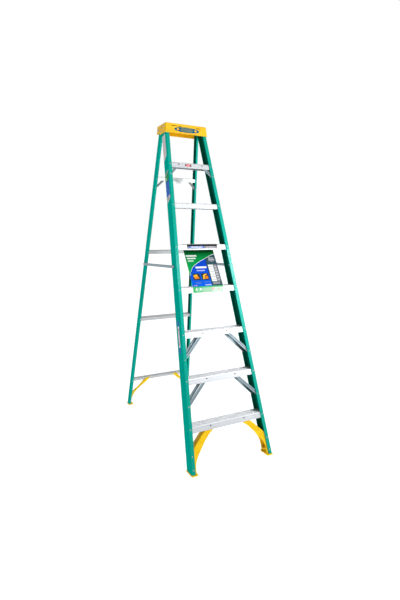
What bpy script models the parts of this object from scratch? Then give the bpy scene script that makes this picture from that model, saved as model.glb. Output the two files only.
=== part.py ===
"""An eight-foot fibreglass stepladder, standing open.

The front section is two green channel rails, seven aluminium steps, knee braces, moulded feet
and a moulded cap. The rear section is a second, narrower pair of rails that swings on two bolts
through the cap. Two folding spreaders hold the sections apart.

Metres, +Z up. +Y runs from the climbing side to the rear, X is the width. The origin is on the
floor, at the middle of the footprint.

Two sets of axes carry most of the shapes:
  front axes: x across, y rearwards and square to the front rails, z up along the front section,
              from the point where the rails' front faces meet the floor;
  rear axes:  x across, y rearwards and square to the rear rails, z up along the rear section,
              from the main hinge.
"""

import math

import bmesh
import bpy
from mathutils import Matrix, Vector

# Stance
FRONT_SLOPE = math.radians(17.48)  # of the front section from upright
REAR_SLOPE = math.radians(12.35)  # of the rear section from upright
FRONT_TOE_Y = -0.6778  # the front faces of the front rails, at the floor
REAR_TOE_Y = 0.6500  # the middle of the rear rails, at the floor
HINGE_Z = 2.271
HINGE_Y = REAR_TOE_Y - HINGE_Z * math.tan(REAR_SLOPE)
REAR_LENGTH = HINGE_Z / math.cos(REAR_SLOPE)  # from the hinge down to the floor

# Gap between pieces that touch, and round a rivet or bolt in its hole
GAP = 0.0003
HOLE_GAP = 0.0001

# Front rails: channels with the open side inwards
FRONT_WEB = 0.0765
FRONT_FLANGE = 0.027
FRONT_WALL = 0.004
FRONT_TOE_X = 0.3121  # outer face at the floor
FRONT_TAPER = 0.06345  # inwards per metre of rail
FRONT_RAIL_TOP = 2.300

# Rear rails
REAR_WEB = 0.050
REAR_FLANGE = 0.016
REAR_WALL = 0.0035
REAR_HINGE_X = 0.1537  # outer face at the hinge
REAR_TAPER = 0.06174
REAR_RAIL_RISE = 0.008  # above the hinge

# Steps, numbered from the floor
STEP_COUNT = 7
STEP_PITCH = 0.3042  # along the front section
STEP_RIVET_Z = 0.2841  # first step's rivets, in front axes
TREAD_RISE = 0.014  # front edge of the tread above the rivets
APRON_HEIGHT = 0.039
STEP_WALL = 0.002

# Knee braces: step -> (half spacing of the rivets in the apron, drop to the rivets in the rail)
BRACED_STEPS = {2: (0.1106, 0.1620), 3: (0.0919, 0.1620), 7: (0.0941, 0.0770)}
BRACE_WIDTH = 0.019
BRACE_DEPTH = 0.009
REAR_BRACE_SHIFT = 0.008  # the rear braces meet the step nearer its ends
BRACE_WALL = 0.0016
RIVET_INSET = 0.0135  # rivet line in from the outer face of a front rail

# Rear horizontals, from the top down: height of the top face at the front of the rear rails
HORIZONTAL_HEIGHTS = (1.947, 1.384, 0.818, 0.251)
HORIZONTAL_SIZES = ((0.0424, 0.025),) * 3 + ((0.032, 0.021),)  # depth, height
HORIZONTAL_WALL = 0.0018
TOP_BRACE_X = 0.100
TOP_BRACE_DROP = 0.066

# Cap: a hollow moulding, open below
CAP_TOP = 2.307
CAP_BOTTOM = 2.237
CAP_WALL = 0.0035
CAP_HALF_WIDTH = (0.1705, 0.1655)  # at the bottom, at the top
CAP_FRONT_Y = (0.0215, 0.0300)
CAP_REAR_Y = (0.1905, 0.1870)
CAP_SKIRT_STEP = 0.014  # the skirt is this much shorter behind the front rails
CAP_SKIRT_STEP_Y = 0.118
CAP_BOLTS = ((0.0585, 2.2860), (0.0995, 2.2520))  # y, z
CAP_BOLT_RADIUS = 0.003
HINGE_BOLT_RADIUS = 0.004

# Spreaders
FRONT_SPREADER_Z = 1.368  # along the front section
REAR_SPREADER_Z = 1.279  # height above the floor
FRONT_LINK_SHARE = 0.526  # of the open length
LINK_WIDTH = 0.020
LINK_THICKNESS = 0.003
LINK_OVERLAP = 0.045  # past the elbow
FRONT_LINK_X = 0.2275  # inner face
REAR_LINK_X = 0.2235
RIVET_RADIUS = 0.003
HEAD_RADIUS = 0.007
HEAD_HEIGHT = 0.0025

# Feet
SOLE_BOTTOM = 0.001
SOLE_TOP = 0.008
PAD_TOP = 0.003
PAD_INSET = 0.005
FOOT_WALL = 0.004
HEEL_POCKETS = ((0.013, 0.026), (0.031, 0.043), (0.048, 0.061))  # along the foot, front to rear
REAR_FOOT_DEPTH = 0.012

# Lines of the foot arms, from the top down: distance from the middle plane, height above the
# floor along the section
FRONT_FOOT_FRONT = (
    (-0.0980, 0.2901),
    (-0.1190, 0.2545),
    (-0.1479, 0.2326),
    (-0.1887, 0.1903),
    (-0.2301, 0.1364),
    (-0.2600, 0.0920),
    (-0.2720, 0.0500),
    (-0.2745, -0.0160),
)
FRONT_FOOT_REAR = (
    (-0.1400, 0.2901),
    (-0.1620, 0.2545),
    (-0.1850, 0.2300),
    (-0.2150, 0.1950),
    (-0.2440, 0.1520),
    (-0.2650, 0.1130),
    (-0.2730, 0.0700),
    (-0.2735, -0.0160),
)
FRONT_FOOT_OUTER = (
    (-0.1560, 0.2901),
    (-0.1820, 0.2573),
    (-0.2080, 0.2325),
    (-0.2420, 0.1985),
    (-0.2720, 0.1690),
    (-0.2960, 0.1300),
    (-0.3025, 0.0600),
    (-0.3065, -0.0160),
)
REAR_FOOT_EDGE = (
    (-0.1110, 0.2612),
    (-0.1215, 0.2480),
    (-0.1543, 0.2150),
    (-0.1990, 0.1800),
    (-0.2338, 0.1465),
    (-0.2550, 0.1170),
    (-0.2733, 0.0754),
    (-0.2775, 0.0450),
    (-0.2775, -0.0120),
)
REAR_FOOT_OUTER = (
    (-0.1480, 0.2612),
    (-0.1600, 0.2480),
    (-0.1750, 0.2325),
    (-0.2137, 0.1870),
    (-0.2500, 0.1545),
    (-0.2740, 0.1310),
    (-0.2860, 0.1000),
    (-0.2885, 0.0500),
    (-0.2920, -0.0120),
)

# Display card: a strip of board folded over a step and hung down to the one below
CARD_HALF_WIDTH = 0.120
CARD_THICKNESS = 0.0008
CARD_GAP = 0.0004
CARD_UPPER_STEP = 5
CARD_LOWER_STEP = 4

GREEN = (0.0, 0.34, 0.26)
YELLOW = (0.95, 0.55, 0.02)
ALUMINIUM = (0.72, 0.74, 0.77)
GREY_ALUMINIUM = (0.38, 0.42, 0.46)
STEEL = (0.55, 0.55, 0.57)
RUBBER = (0.03, 0.03, 0.03)
CARD = (0.02, 0.36, 0.12)

FRONT_UP = Vector((0, -math.sin(FRONT_SLOPE), math.cos(FRONT_SLOPE)))  # world up, in front axes
REAR_UP = Vector((0, math.sin(REAR_SLOPE), math.cos(REAR_SLOPE)))  # world up, in rear axes


# Scene


def clear_scene():
    for obj in list(bpy.data.objects):
        bpy.data.objects.remove(obj, do_unlink=True)


def new_collection(name):
    collection = bpy.data.collections.new(name)
    bpy.context.scene.collection.children.link(collection)
    return collection


def axes(name, location, tilt, collection):
    """An empty that carries a set of axes, tilted about X."""
    empty = bpy.data.objects.new(name, None)
    empty.location = location
    empty.rotation_euler = (tilt, 0, 0)
    collection.objects.link(empty)
    return empty


def finish(name, colour, roughness, metallic):
    material = bpy.data.materials.new(name + "_finish")
    material.use_nodes = True
    shader = material.node_tree.nodes["Principled BSDF"]
    shader.inputs["Base Color"].default_value = (*colour, 1)
    shader.inputs["Roughness"].default_value = roughness
    shader.inputs["Metallic"].default_value = metallic
    return material


FINISHES = {
    "fibreglass": (GREEN, 0.35, 0.0),
    "moulding": (YELLOW, 0.40, 0.0),
    "aluminium": (ALUMINIUM, 0.35, 1.0),
    "brace": (GREY_ALUMINIUM, 0.45, 1.0),
    "steel": (STEEL, 0.30, 1.0),
    "rubber": (RUBBER, 0.80, 0.0),
    "card": (CARD, 0.50, 0.0),
}


def add(name, mesh, kind, parent=None):
    """Puts a mesh in the ladder's collection, on its parent's axes."""
    mesh.name = name
    obj = bpy.data.objects.new(name, mesh)
    mesh.materials.clear()
    mesh.materials.append(finish(name, *FINISHES[kind]))
    mesh.shade_smooth()
    mesh.set_sharp_from_angle(angle=math.radians(30))
    obj.parent = parent
    bpy.data.collections["stepladder"].objects.link(obj)
    return obj


# Outlines


def fillet(path, radius, steps=4):
    """An open path with each inner corner turned into an arc."""
    points = [Vector(path[0])]
    for before, corner, after in zip(path, path[1:], path[2:]):
        corner = Vector(corner)
        one = (Vector(before) - corner).normalized()
        two = (Vector(after) - corner).normalized()
        half = one.angle(two) / 2
        start = corner + one * radius / math.tan(half)
        end = corner + two * radius / math.tan(half)
        centre = corner + (one + two).normalized() * radius / math.sin(half)
        for i in range(steps + 1):
            spoke = (start - centre).slerp(end - centre, i / steps)
            points.append(centre + spoke.normalized() * radius)
    points.append(Vector(path[-1]))
    return points


def ribbon(path, thickness):
    """The closed outline of a wall whose right-hand face, walking along it, is the path."""
    path = [Vector(p) for p in path]
    directions = [(b - a).normalized() for a, b in zip(path, path[1:])]
    other = []
    for i, point in enumerate(path):
        before = directions[max(i - 1, 0)]
        after = directions[min(i, len(directions) - 1)]
        normal = Vector((-before.y - after.y, before.x + after.x)).normalized()
        other.append(point + normal * thickness / normal.dot(Vector((-before.y, before.x))))
    return path + other[::-1]


def smooth(points, steps=4):
    """A rounded open line through all the points."""
    points = [Vector(p) for p in points]
    padded = [points[0] * 2 - points[1], *points, points[-1] * 2 - points[-2]]
    line = []
    for a, b, c, d in zip(padded, padded[1:], padded[2:], padded[3:]):
        for i in range(steps):
            t = i / steps
            line.append(
                (b * 2 + (c - a) * t + (a * 2 - b * 5 + c * 4 - d) * t**2 + (b * 3 - a - c * 3 + d) * t**3)
                / 2
            )
    return line + [points[-1]]


def bar_outline(length, width, past_start, past_end, steps=6):
    """A flat bar with round ends, from its pivot at the origin along +X."""
    radius = width / 2
    outline = []
    for centre, turn in ((length + past_end - radius, -90), (radius - past_start, 90)):
        for i in range(steps + 1):
            angle = math.radians(turn + 180 * i / steps)
            outline.append((centre + radius * math.cos(angle), radius * math.sin(angle)))
    return outline


# Solids

ALONG_X = Matrix(((0, 0, 1, 0), (1, 0, 0, 0), (0, 1, 0, 0), (0, 0, 0, 1)))  # outline in (y, z)
ALONG_Y = Matrix(((1, 0, 0, 0), (0, 0, -1, 0), (0, 1, 0, 0), (0, 0, 0, 1)))  # outline in (x, z)
ALONG_Z = Matrix.Identity(4)  # outline in (x, y)


def extrusion(outline, start, end, direction):
    """The mesh of a flat outline drawn out from start to end along one axis."""
    curve = bpy.data.curves.new("outline", "CURVE")
    curve.dimensions = "2D"
    curve.fill_mode = "BOTH"
    curve.extrude = (end - start) / 2
    spline = curve.splines.new("POLY")
    spline.points.add(len(outline) - 1)
    for point, place in zip(spline.points, outline):
        point.co = (place[0], place[1], 0, 1)
    spline.use_cyclic_u = True
    guide = bpy.data.objects.new("outline", curve)
    bpy.context.scene.collection.objects.link(guide)
    graph = bpy.context.evaluated_depsgraph_get()
    mesh = bpy.data.meshes.new_from_object(guide.evaluated_get(graph))
    bpy.data.objects.remove(guide)
    bpy.data.curves.remove(curve)
    middle = (start + end) / 2 * (-1 if direction is ALONG_Y else 1)
    mesh.transform(direction @ Matrix.Translation((0, 0, middle)))
    weld(mesh)
    return mesh


def weld(mesh):
    shape = bmesh.new()
    shape.from_mesh(mesh)
    bmesh.ops.remove_doubles(shape, verts=shape.verts, dist=1e-6)
    bmesh.ops.recalc_face_normals(shape, faces=shape.faces)
    shape.to_mesh(mesh)
    shape.free()


def trimmed(mesh, point, normal):
    """Cuts off what lies beyond a plane and closes the cut."""
    shape = bmesh.new()
    shape.from_mesh(mesh)
    geometry = shape.verts[:] + shape.edges[:] + shape.faces[:]
    bmesh.ops.bisect_plane(shape, geom=geometry, plane_co=point, plane_no=normal, clear_outer=True)
    rim = [edge for edge in shape.edges if edge.is_boundary]
    bmesh.ops.holes_fill(shape, edges=rim)
    bmesh.ops.recalc_face_normals(shape, faces=shape.faces)
    shape.to_mesh(mesh)
    shape.free()
    return mesh


def mirrored(mesh):
    """A copy of the mesh on the other side of the ladder."""
    copy = mesh.copy()
    copy.transform(Matrix.Scale(-1, 4, (1, 0, 0)))
    copy.flip_normals()
    return copy


def pair(name, mesh, kind, parent):
    """The left piece, which is given, and its mirror image on the right."""
    left = add(name + "_left", mesh, kind, parent)
    right = add(name + "_right", mirrored(mesh), kind, parent)
    return left, right


def join_or_cut(obj, other, operation):
    """A Boolean with a helper object, which stays out of the build."""
    other.hide_render = True
    other.display_type = "WIRE"
    modifier = obj.modifiers.new(operation.lower(), "BOOLEAN")
    modifier.operation = operation
    modifier.solver = "EXACT"
    modifier.object = other


def helper(name, mesh, parent=None):
    obj = bpy.data.objects.new(name, mesh)
    obj.parent = parent
    bpy.data.collections["cutters"].objects.link(obj)
    return obj


def drill(obj, name, place, radius, start, end, parent, side):
    """A hole across the ladder, between two distances from its middle plane."""
    steps = 20
    ring = [
        (
            place[0] + radius * math.cos(2 * math.pi * i / steps),
            place[1] + radius * math.sin(2 * math.pi * i / steps),
        )
        for i in range(steps)
    ]
    mesh = extrusion(ring, min(side * start, side * end), max(side * start, side * end), ALONG_X)
    join_or_cut(obj, helper(name, mesh, parent), "DIFFERENCE")


def turned(name, profile, place, side, kind, parent):
    """A turned piece whose axis lies across the ladder. The profile is (radius, distance from the
    ladder's middle plane), from its outer end inwards."""
    mesh = bpy.data.meshes.new(name)
    mesh.from_pydata(
        [(radius, 0, distance) for radius, distance in profile],
        [(i, i + 1) for i in range(len(profile) - 1)],
        [],
    )
    obj = bpy.data.objects.new(name, mesh)
    mesh.materials.append(finish(name, *FINISHES[kind]))
    obj.parent = parent
    obj.location = (0, *place)
    obj.rotation_euler = (0, side * math.pi / 2, 0)
    bpy.data.collections["stepladder"].objects.link(obj)
    screw = obj.modifiers.new("turn", "SCREW")
    screw.axis = "Z"
    screw.steps = screw.render_steps = 16
    screw.use_merge_vertices = True
    screw.merge_threshold = 1e-5
    return obj


def domed(outer, radius=HEAD_RADIUS, height=HEAD_HEIGHT):
    """The profile of a domed head that stands on the distance outer."""
    return [
        (0, outer + height),
        (0.55 * radius, outer + 0.85 * height),
        (0.9 * radius, outer + 0.45 * height),
        (radius, outer),
    ]


# Front section


def front_outer(z):
    """Half width over the front rails at a place along them."""
    return FRONT_TOE_X - FRONT_TAPER * z


def front_height(height):
    """A point on the level plane at this height, in front axes."""
    return FRONT_UP * height


def channel_rail(web, flange, wall, outer_at_zero, taper, bottom, top):
    """A left-hand rail: a channel along z with its web outside and its middle depth at y = 0."""
    path = [(flange, -web / 2), (0, -web / 2), (0, web / 2), (flange, web / 2)]
    profile = ribbon(fillet(path[::-1], 0.004), wall)
    mesh = extrusion(profile, bottom, top, ALONG_Z)
    lean = Matrix.Rotation(math.atan(taper), 4, "Y")
    mesh.transform(Matrix.Translation((-outer_at_zero, 0, 0)) @ lean)
    return mesh


def make_front_rails(front):
    mesh = channel_rail(FRONT_WEB, FRONT_FLANGE, FRONT_WALL, FRONT_TOE_X, FRONT_TAPER, -0.05, 2.55)
    mesh.transform(Matrix.Translation((0, FRONT_WEB / 2, 0)))
    trimmed(mesh, front_height(SOLE_TOP + GAP), -FRONT_UP)
    trimmed(mesh, front_height(FRONT_RAIL_TOP), FRONT_UP)
    return pair("front_rail", mesh, "fibreglass", front)


def step_section(number):
    """Tread and aprons in (y, z) of the front axes: the aprons follow the rails, the tread is level."""
    near = FRONT_WALL + GAP
    far = FRONT_WEB - FRONT_WALL - GAP
    top = STEP_RIVET_Z + (number - 1) * STEP_PITCH + TREAD_RISE
    back = top + (far - near) * math.tan(FRONT_SLOPE)
    path = [(near, top - APRON_HEIGHT), (near, top), (far, back), (far, back - APRON_HEIGHT)]
    return ribbon(fillet(path[::-1], 0.003, 3), STEP_WALL)


def make_steps(front):
    lean = math.atan(FRONT_TAPER)
    web_face = FRONT_TOE_X - (FRONT_WALL + 0.001) / math.cos(lean)
    for number in range(1, STEP_COUNT + 1):
        mesh = extrusion(step_section(number), -0.35, 0.35, ALONG_X)
        for side in (-1, 1):
            trimmed(mesh, (side * web_face, 0, 0), (side, 0, FRONT_TAPER))
        add(f"step_{number}", mesh, "aluminium", front)


def brace_bar(start, end, width, depth, wall, near, opens):
    """A channel bar between two points of the (x, z) plane, its web at the depth near.
    opens is +1 where the bar stands rearwards of its web and -1 where it stands forwards."""
    start, end = Vector(start), Vector(end)
    length = (end - start).length
    path = [(-width / 2, opens * depth), (-width / 2, 0), (width / 2, 0), (width / 2, opens * depth)]
    if opens > 0:
        section = ribbon(path, wall)
    else:
        section = ribbon(path[::-1], wall)
    mesh = extrusion(section, 0, length, ALONG_Z)
    along = (end - start) / length
    frame = Matrix(((along.y, 0, along.x, 0), (0, 1, 0, 0), (-along.x, 0, along.y, 0), (0, 0, 0, 1)))
    mesh.transform(Matrix.Translation((start.x, near, start.y)) @ frame)
    return mesh


def make_knee_braces(front):
    near = FRONT_WALL + STEP_WALL + 2 * GAP
    far = FRONT_WEB - near
    for number, (half_spacing, drop) in BRACED_STEPS.items():
        top = STEP_RIVET_Z + (number - 1) * STEP_PITCH
        bottom = top - drop
        ends = ((-half_spacing, top), (-front_outer(bottom) + RIVET_INSET, bottom))
        size = (BRACE_WIDTH, BRACE_DEPTH, BRACE_WALL)
        pair(f"step_{number}_front_brace", brace_bar(*ends, *size, near, 1), "brace", front)
        if number < STEP_COUNT:
            ends = ((-half_spacing - REAR_BRACE_SHIFT, top), ends[1])
            pair(f"step_{number}_rear_brace", brace_bar(*ends, *size, far, -1), "brace", front)


def inside(path, distance):
    """The line at this distance on the left-hand side, walking along the path."""
    return ribbon(path, distance)[len(path):][::-1]


def foot_arm(front_edge, rear_edge, outer, near, far, rounding):
    """A curved arm of a foot: a strap along the outer line, with a flange at its front and rear.
    All three are lines of (x, z) on the left side, from the top down."""
    front_edge, rear_edge, outer = smooth(front_edge), smooth(rear_edge), smooth(outer)
    lining = inside(outer, FOOT_WALL)
    shoulder = inside(outer, rounding)
    corner = inside(outer, 0.3 * rounding)
    vertices, faces = [], []
    for first, last, rim, wall, turn, bend in zip(
        front_edge, rear_edge, outer, lining, shoulder, corner
    ):
        for point, depth in (
            (first, near),
            (first, near + FOOT_WALL),
            (wall, near + FOOT_WALL),
            (wall, far - FOOT_WALL),
            (last, far - FOOT_WALL),
            (last, far),
            (turn, far),
            (bend, far - 0.3 * rounding),
            (rim, far - rounding),
            (rim, near + rounding),
            (bend, near + 0.3 * rounding),
            (turn, near),
        ):
            vertices.append((point.x, depth, point.y))
    for row in range(len(outer) - 1):
        for i in range(12):
            first, second = row * 12 + i, row * 12 + (i + 1) % 12
            faces.append((first, second, second + 12, first + 12))
    faces += [tuple(range(12)), tuple(range(len(vertices) - 12, len(vertices)))]
    mesh = bpy.data.meshes.new("foot_arm")
    mesh.from_pydata(vertices, [], faces)
    weld(mesh)
    return mesh


def box(across, depth, height):
    (left, right), (front, rear) = across, depth
    corners = [(left, front), (right, front), (right, rear), (left, rear)]
    return extrusion(corners, *height, ALONG_Z)


def sole(inner_x, outer_x, front_y, rear_y, start, end):
    """A left-hand slab with round corners, level with the floor."""
    corners = [(-outer_x, front_y), (-inner_x, front_y), (-inner_x, rear_y), (-outer_x, rear_y)]
    loop = fillet([corners[-1], *corners, corners[0]], 0.004, 3)[1:-1]
    return extrusion(loop, start, end, ALONG_Z)


def make_foot(name, arm, footprint, parent, up, floor):
    """A pair of moulded feet: arm, sole under the rail, and a rubber pad let into the sole."""
    trimmed(arm, floor + up * (SOLE_BOTTOM + 0.003), -up)
    slab = sole(*footprint, SOLE_BOTTOM, SOLE_TOP)
    inner_x, outer_x, front_y, rear_y = footprint
    pad = (inner_x + PAD_INSET, outer_x - PAD_INSET, front_y + PAD_INSET, rear_y - PAD_INSET)
    inner_x, outer_x, front_y, rear_y = pad
    roomy = (inner_x - GAP, outer_x + GAP, front_y - GAP, rear_y + GAP)
    pocket = sole(*roomy, -0.01, PAD_TOP + GAP)
    feet = pair(name + "_foot", arm, "moulding", parent)
    pair(name + "_foot_pad", sole(*pad, 0, PAD_TOP), "rubber", None)
    for side, foot in zip(("left", "right"), feet):
        turn = mirrored if side == "right" else (lambda mesh: mesh)
        label = f"{name}_foot_{side}"
        join_or_cut(foot, helper(label + "_sole", turn(slab)), "UNION")
        join_or_cut(foot, helper(label + "_pocket", turn(pocket)), "DIFFERENCE")
    return feet


def on_each_side(feet, label, mesh, parent, operation):
    """Adds or cuts the given left-hand shape, and its mirror image on the right foot."""
    for foot, shape in zip(feet, (mesh, mirrored(mesh))):
        join_or_cut(foot, helper(f"{foot.name}_{label}", shape, parent), operation)


def make_front_feet(front):
    near = FRONT_WALL + STEP_WALL + 2 * GAP
    far = FRONT_WEB - near
    arm = foot_arm(FRONT_FOOT_FRONT, FRONT_FOOT_REAR, FRONT_FOOT_OUTER, near, far, 0.008)
    back_y = FRONT_TOE_Y + FRONT_WEB / math.cos(FRONT_SLOPE)
    footprint = (0.2680, FRONT_TOE_X + 0.0024, FRONT_TOE_Y - 0.0050, back_y + 0.0030)
    feet = make_foot("front", arm, footprint, front, FRONT_UP, Vector((0, 0, 0)))
    heel = box((-0.3015, -0.2750), (near + 0.002, far - 0.002), (-0.03, 0.046))
    trimmed(heel, FRONT_UP * (SOLE_BOTTOM + 0.003), -FRONT_UP)
    on_each_side(feet, "heel", heel, front, "UNION")
    for number, (start, end) in enumerate(HEEL_POCKETS, 1):
        pocket = box((-0.2900, -0.2600), (start, end), (0.020, 0.041))
        on_each_side(feet, f"heel_pocket_{number}", pocket, front, "DIFFERENCE")


# Rear section


def rear_outer(z):
    """Half width over the rear rails at a place along them, z up from the hinge."""
    return REAR_HINGE_X - REAR_TAPER * z


def rear_height(height):
    """A point on the level plane at this height, in rear axes."""
    return REAR_UP * (height - HINGE_Z)


def make_rear_rails(rear):
    size = (REAR_WEB, REAR_FLANGE, REAR_WALL, REAR_HINGE_X, REAR_TAPER)
    mesh = channel_rail(*size, -REAR_LENGTH - 0.05, REAR_RAIL_RISE)
    trimmed(mesh, rear_height(SOLE_TOP + GAP), -REAR_UP)
    return pair("rear_rail", mesh, "fibreglass", rear)


def horizontal_top(height):
    """Where a rear horizontal's top face lies along the rear section."""
    return (height - HINGE_Z + REAR_WEB / 2 * math.sin(REAR_SLOPE)) / math.cos(REAR_SLOPE)


def make_rear_horizontals(rear):
    lean = math.atan(REAR_TAPER)
    web_face = REAR_HINGE_X - (REAR_WALL + 0.001) / math.cos(lean)
    for number, (level, (depth, height)) in enumerate(zip(HORIZONTAL_HEIGHTS, HORIZONTAL_SIZES), 1):
        half = depth / 2
        top = horizontal_top(level)
        low = top - height
        path = fillet([(half, low), (half, top), (-half, top), (-half, low)], 0.0025, 3)
        mesh = extrusion(ribbon(path, HORIZONTAL_WALL), -0.35, 0.35, ALONG_X)
        for side in (-1, 1):
            trimmed(mesh, (side * web_face, 0, 0), (side, 0, REAR_TAPER))
        add(f"rear_horizontal_{number}", mesh, "aluminium", rear)


def make_top_braces(rear):
    depth, height = HORIZONTAL_SIZES[0]
    top = horizontal_top(HORIZONTAL_HEIGHTS[0]) - height / 2
    bottom = top - TOP_BRACE_DROP
    near = -depth / 2 + HORIZONTAL_WALL + GAP
    ends = ((-TOP_BRACE_X, top), (-rear_outer(bottom) + REAR_FLANGE / 2 + 0.002, bottom))
    mesh = brace_bar(*ends, 0.015, 0.008, BRACE_WALL, near, 1)
    pair("rear_top_brace", mesh, "aluminium", rear)


def make_storage_latch(rear):
    """A small hook on the top horizontal that tucks under the top step when the ladder is shut."""
    top = horizontal_top(HORIZONTAL_HEIGHTS[0]) - 0.004
    face = -HORIZONTAL_SIZES[0][0] / 2 - GAP
    path = [(face, top), (face, top - 0.020), (face - 0.034, top - 0.020), (face - 0.034, top - 0.032)]
    mesh = extrusion(ribbon(fillet(path, 0.003, 3), -0.002), -0.019, 0.019, ALONG_X)
    add("storage_latch", mesh, "aluminium", rear)


def make_rear_feet(rear):
    near = -REAR_WEB / 2 + REAR_WALL + GAP
    lines = [
        [(x, z - REAR_LENGTH) for x, z in line] for line in (REAR_FOOT_EDGE, REAR_FOOT_OUTER)
    ]
    arm = foot_arm(lines[0], lines[0], lines[1], near, near + REAR_FOOT_DEPTH, 0.003)
    half = REAR_WEB / 2 / math.cos(REAR_SLOPE)
    toe_x = rear_outer(-REAR_LENGTH)
    footprint = (0.2575, toe_x + 0.0024, REAR_TOE_Y - half - 0.0040, REAR_TOE_Y + half + 0.0072)
    feet = make_foot("rear", arm, footprint, rear, REAR_UP, rear_height(0))
    depth, height = HORIZONTAL_SIZES[-1]
    low = horizontal_top(HORIZONTAL_HEIGHTS[-1]) - height
    notch = box((-0.25, -0.05), (-depth / 2 - 0.0005, 0.03), (low - 0.001, low + 0.05))
    on_each_side(feet, "notch", notch, rear, "DIFFERENCE")


# Cap and its bolts


def cap_blend(pair_of_values, height):
    share = (height - CAP_BOTTOM) / (CAP_TOP - CAP_BOTTOM)
    return pair_of_values[0] + (pair_of_values[1] - pair_of_values[0]) * share


def make_cap():
    shape = bmesh.new()
    bmesh.ops.create_cube(shape, size=1)
    for vertex in shape.verts:
        height = CAP_TOP if vertex.co.z > 0 else CAP_BOTTOM
        depth = CAP_REAR_Y if vertex.co.y > 0 else CAP_FRONT_Y
        side = 1 if vertex.co.x > 0 else -1
        vertex.co = (side * cap_blend(CAP_HALF_WIDTH, height), cap_blend(depth, height), height)
    underside = min(shape.faces, key=lambda face: face.calc_center_median().z)
    bmesh.ops.delete(shape, geom=[underside], context="FACES_ONLY")
    edges = [edge for edge in shape.edges if not edge.is_boundary]
    bmesh.ops.bevel(shape, geom=edges, offset=0.007, segments=4, affect="EDGES", profile=0.5)
    bmesh.ops.recalc_face_normals(shape, faces=shape.faces)
    mesh = bpy.data.meshes.new("top_cap")
    shape.to_mesh(mesh)
    shape.free()
    cap = add("top_cap", mesh, "moulding")
    shell = cap.modifiers.new("wall", "SOLIDIFY")
    shell.thickness = CAP_WALL
    shell.offset = -1
    shell.use_even_offset = True
    shell.use_rim = True
    width, front_y, rear_y = 0.5, CAP_SKIRT_STEP_Y, 0.3
    notch = [(front_y, CAP_BOTTOM - 0.02), (rear_y, CAP_BOTTOM - 0.02)]
    notch += [(rear_y, CAP_BOTTOM + CAP_SKIRT_STEP), (front_y + CAP_SKIRT_STEP, CAP_BOTTOM + CAP_SKIRT_STEP)]
    cutter = helper("skirt_notch", extrusion(notch, -width / 2, width / 2, ALONG_X))
    join_or_cut(cap, cutter, "DIFFERENCE")
    return cap


def make_cap_bolts(cap, front_rails):
    """Bolts that hold the cap to the front rails, through both."""
    slope = (math.sin(FRONT_SLOPE), math.cos(FRONT_SLOPE))
    for number, (y, z) in enumerate(CAP_BOLTS, 1):
        along = (y - FRONT_TOE_Y) * slope[0] + z * slope[1]
        web_inner = front_outer(along) - FRONT_WALL - 2 * GAP
        outer = cap_blend(CAP_HALF_WIDTH, z) + 3 * GAP
        for side, label, rail in ((-1, "left", front_rails[0]), (1, "right", front_rails[1])):
            profile = domed(outer)
            profile += [(CAP_BOLT_RADIUS, outer), (CAP_BOLT_RADIUS, web_inner)]
            profile += [(0.006, web_inner), (0.006, web_inner - 0.004), (0, web_inner - 0.004)]
            turned(f"cap_bolt_{number}_{label}", profile, (y, z), side, "steel", None)
            for target in (cap, rail):
                name = f"{target.name}_bolt_{number}_{label}_hole"
                drill(target, name, (y, z), CAP_BOLT_RADIUS + HOLE_GAP, 0.10, 0.20, None, side)


def make_hinge_bolts(cap, rear_rails, rear):
    """The bolts that the rear section swings on, with a shoulder between cap and rail."""
    radius = HINGE_BOLT_RADIUS
    outer = cap_blend(CAP_HALF_WIDTH, HINGE_Z) + 3 * GAP
    wall_inner = outer - CAP_WALL - 6 * GAP
    rail_outer = REAR_HINGE_X + 3 * GAP
    rail_inner = REAR_HINGE_X - REAR_WALL - 3 * GAP
    for side, label, rail in ((-1, "left", rear_rails[0]), (1, "right", rear_rails[1])):
        profile = domed(outer, 0.009, 0.0035)
        profile += [(radius, outer), (radius, wall_inner), (0.007, wall_inner), (0.007, rail_outer)]
        profile += [(radius, rail_outer), (radius, rail_inner), (0.008, rail_inner)]
        profile += [(0.008, rail_inner - 0.005), (0, rail_inner - 0.005)]
        turned(f"hinge_bolt_{label}", profile, (HINGE_Y, HINGE_Z), side, "steel", None)
        for target in (cap, rail):
            name = f"{target.name}_hinge_{label}_hole"
            drill(target, name, (HINGE_Y, HINGE_Z), radius + HOLE_GAP, 0.10, 0.20, None, side)


# Spreaders


def spreader_points():
    """The two pivots of a spreader in (y, z) of the world, at rest."""
    depth = FRONT_WEB / 2
    across, along = math.cos(FRONT_SLOPE), math.sin(FRONT_SLOPE)
    front = Vector(
        (
            FRONT_TOE_Y + depth * across + FRONT_SPREADER_Z * along,
            FRONT_SPREADER_Z * across - depth * along,
        )
    )
    rear = Vector((REAR_TOE_Y - REAR_SPREADER_Z * math.tan(REAR_SLOPE), REAR_SPREADER_Z))
    return front, rear


def make_link(name, pivot, direction, length, inner_x, side):
    """One flat bar of a spreader, its origin on its pivot and its length along local Y."""
    outline = bar_outline(length, LINK_WIDTH, LINK_WIDTH / 2, LINK_OVERLAP)
    reach = (side * inner_x, side * (inner_x + LINK_THICKNESS))
    mesh = extrusion(outline, min(reach), max(reach), ALONG_X)
    link = add(name, mesh, "brace")
    link.location = (0, *pivot)
    link.rotation_euler = (math.atan2(direction.y, direction.x), 0, 0)
    for label, place in (("pivot", 0), ("elbow", length)):
        span = (inner_x - 0.002, inner_x + LINK_THICKNESS + 0.002)
        drill(link, f"{name}_{label}_hole", (place, 0), RIVET_RADIUS + HOLE_GAP, *span, link, side)
    return link


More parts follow.
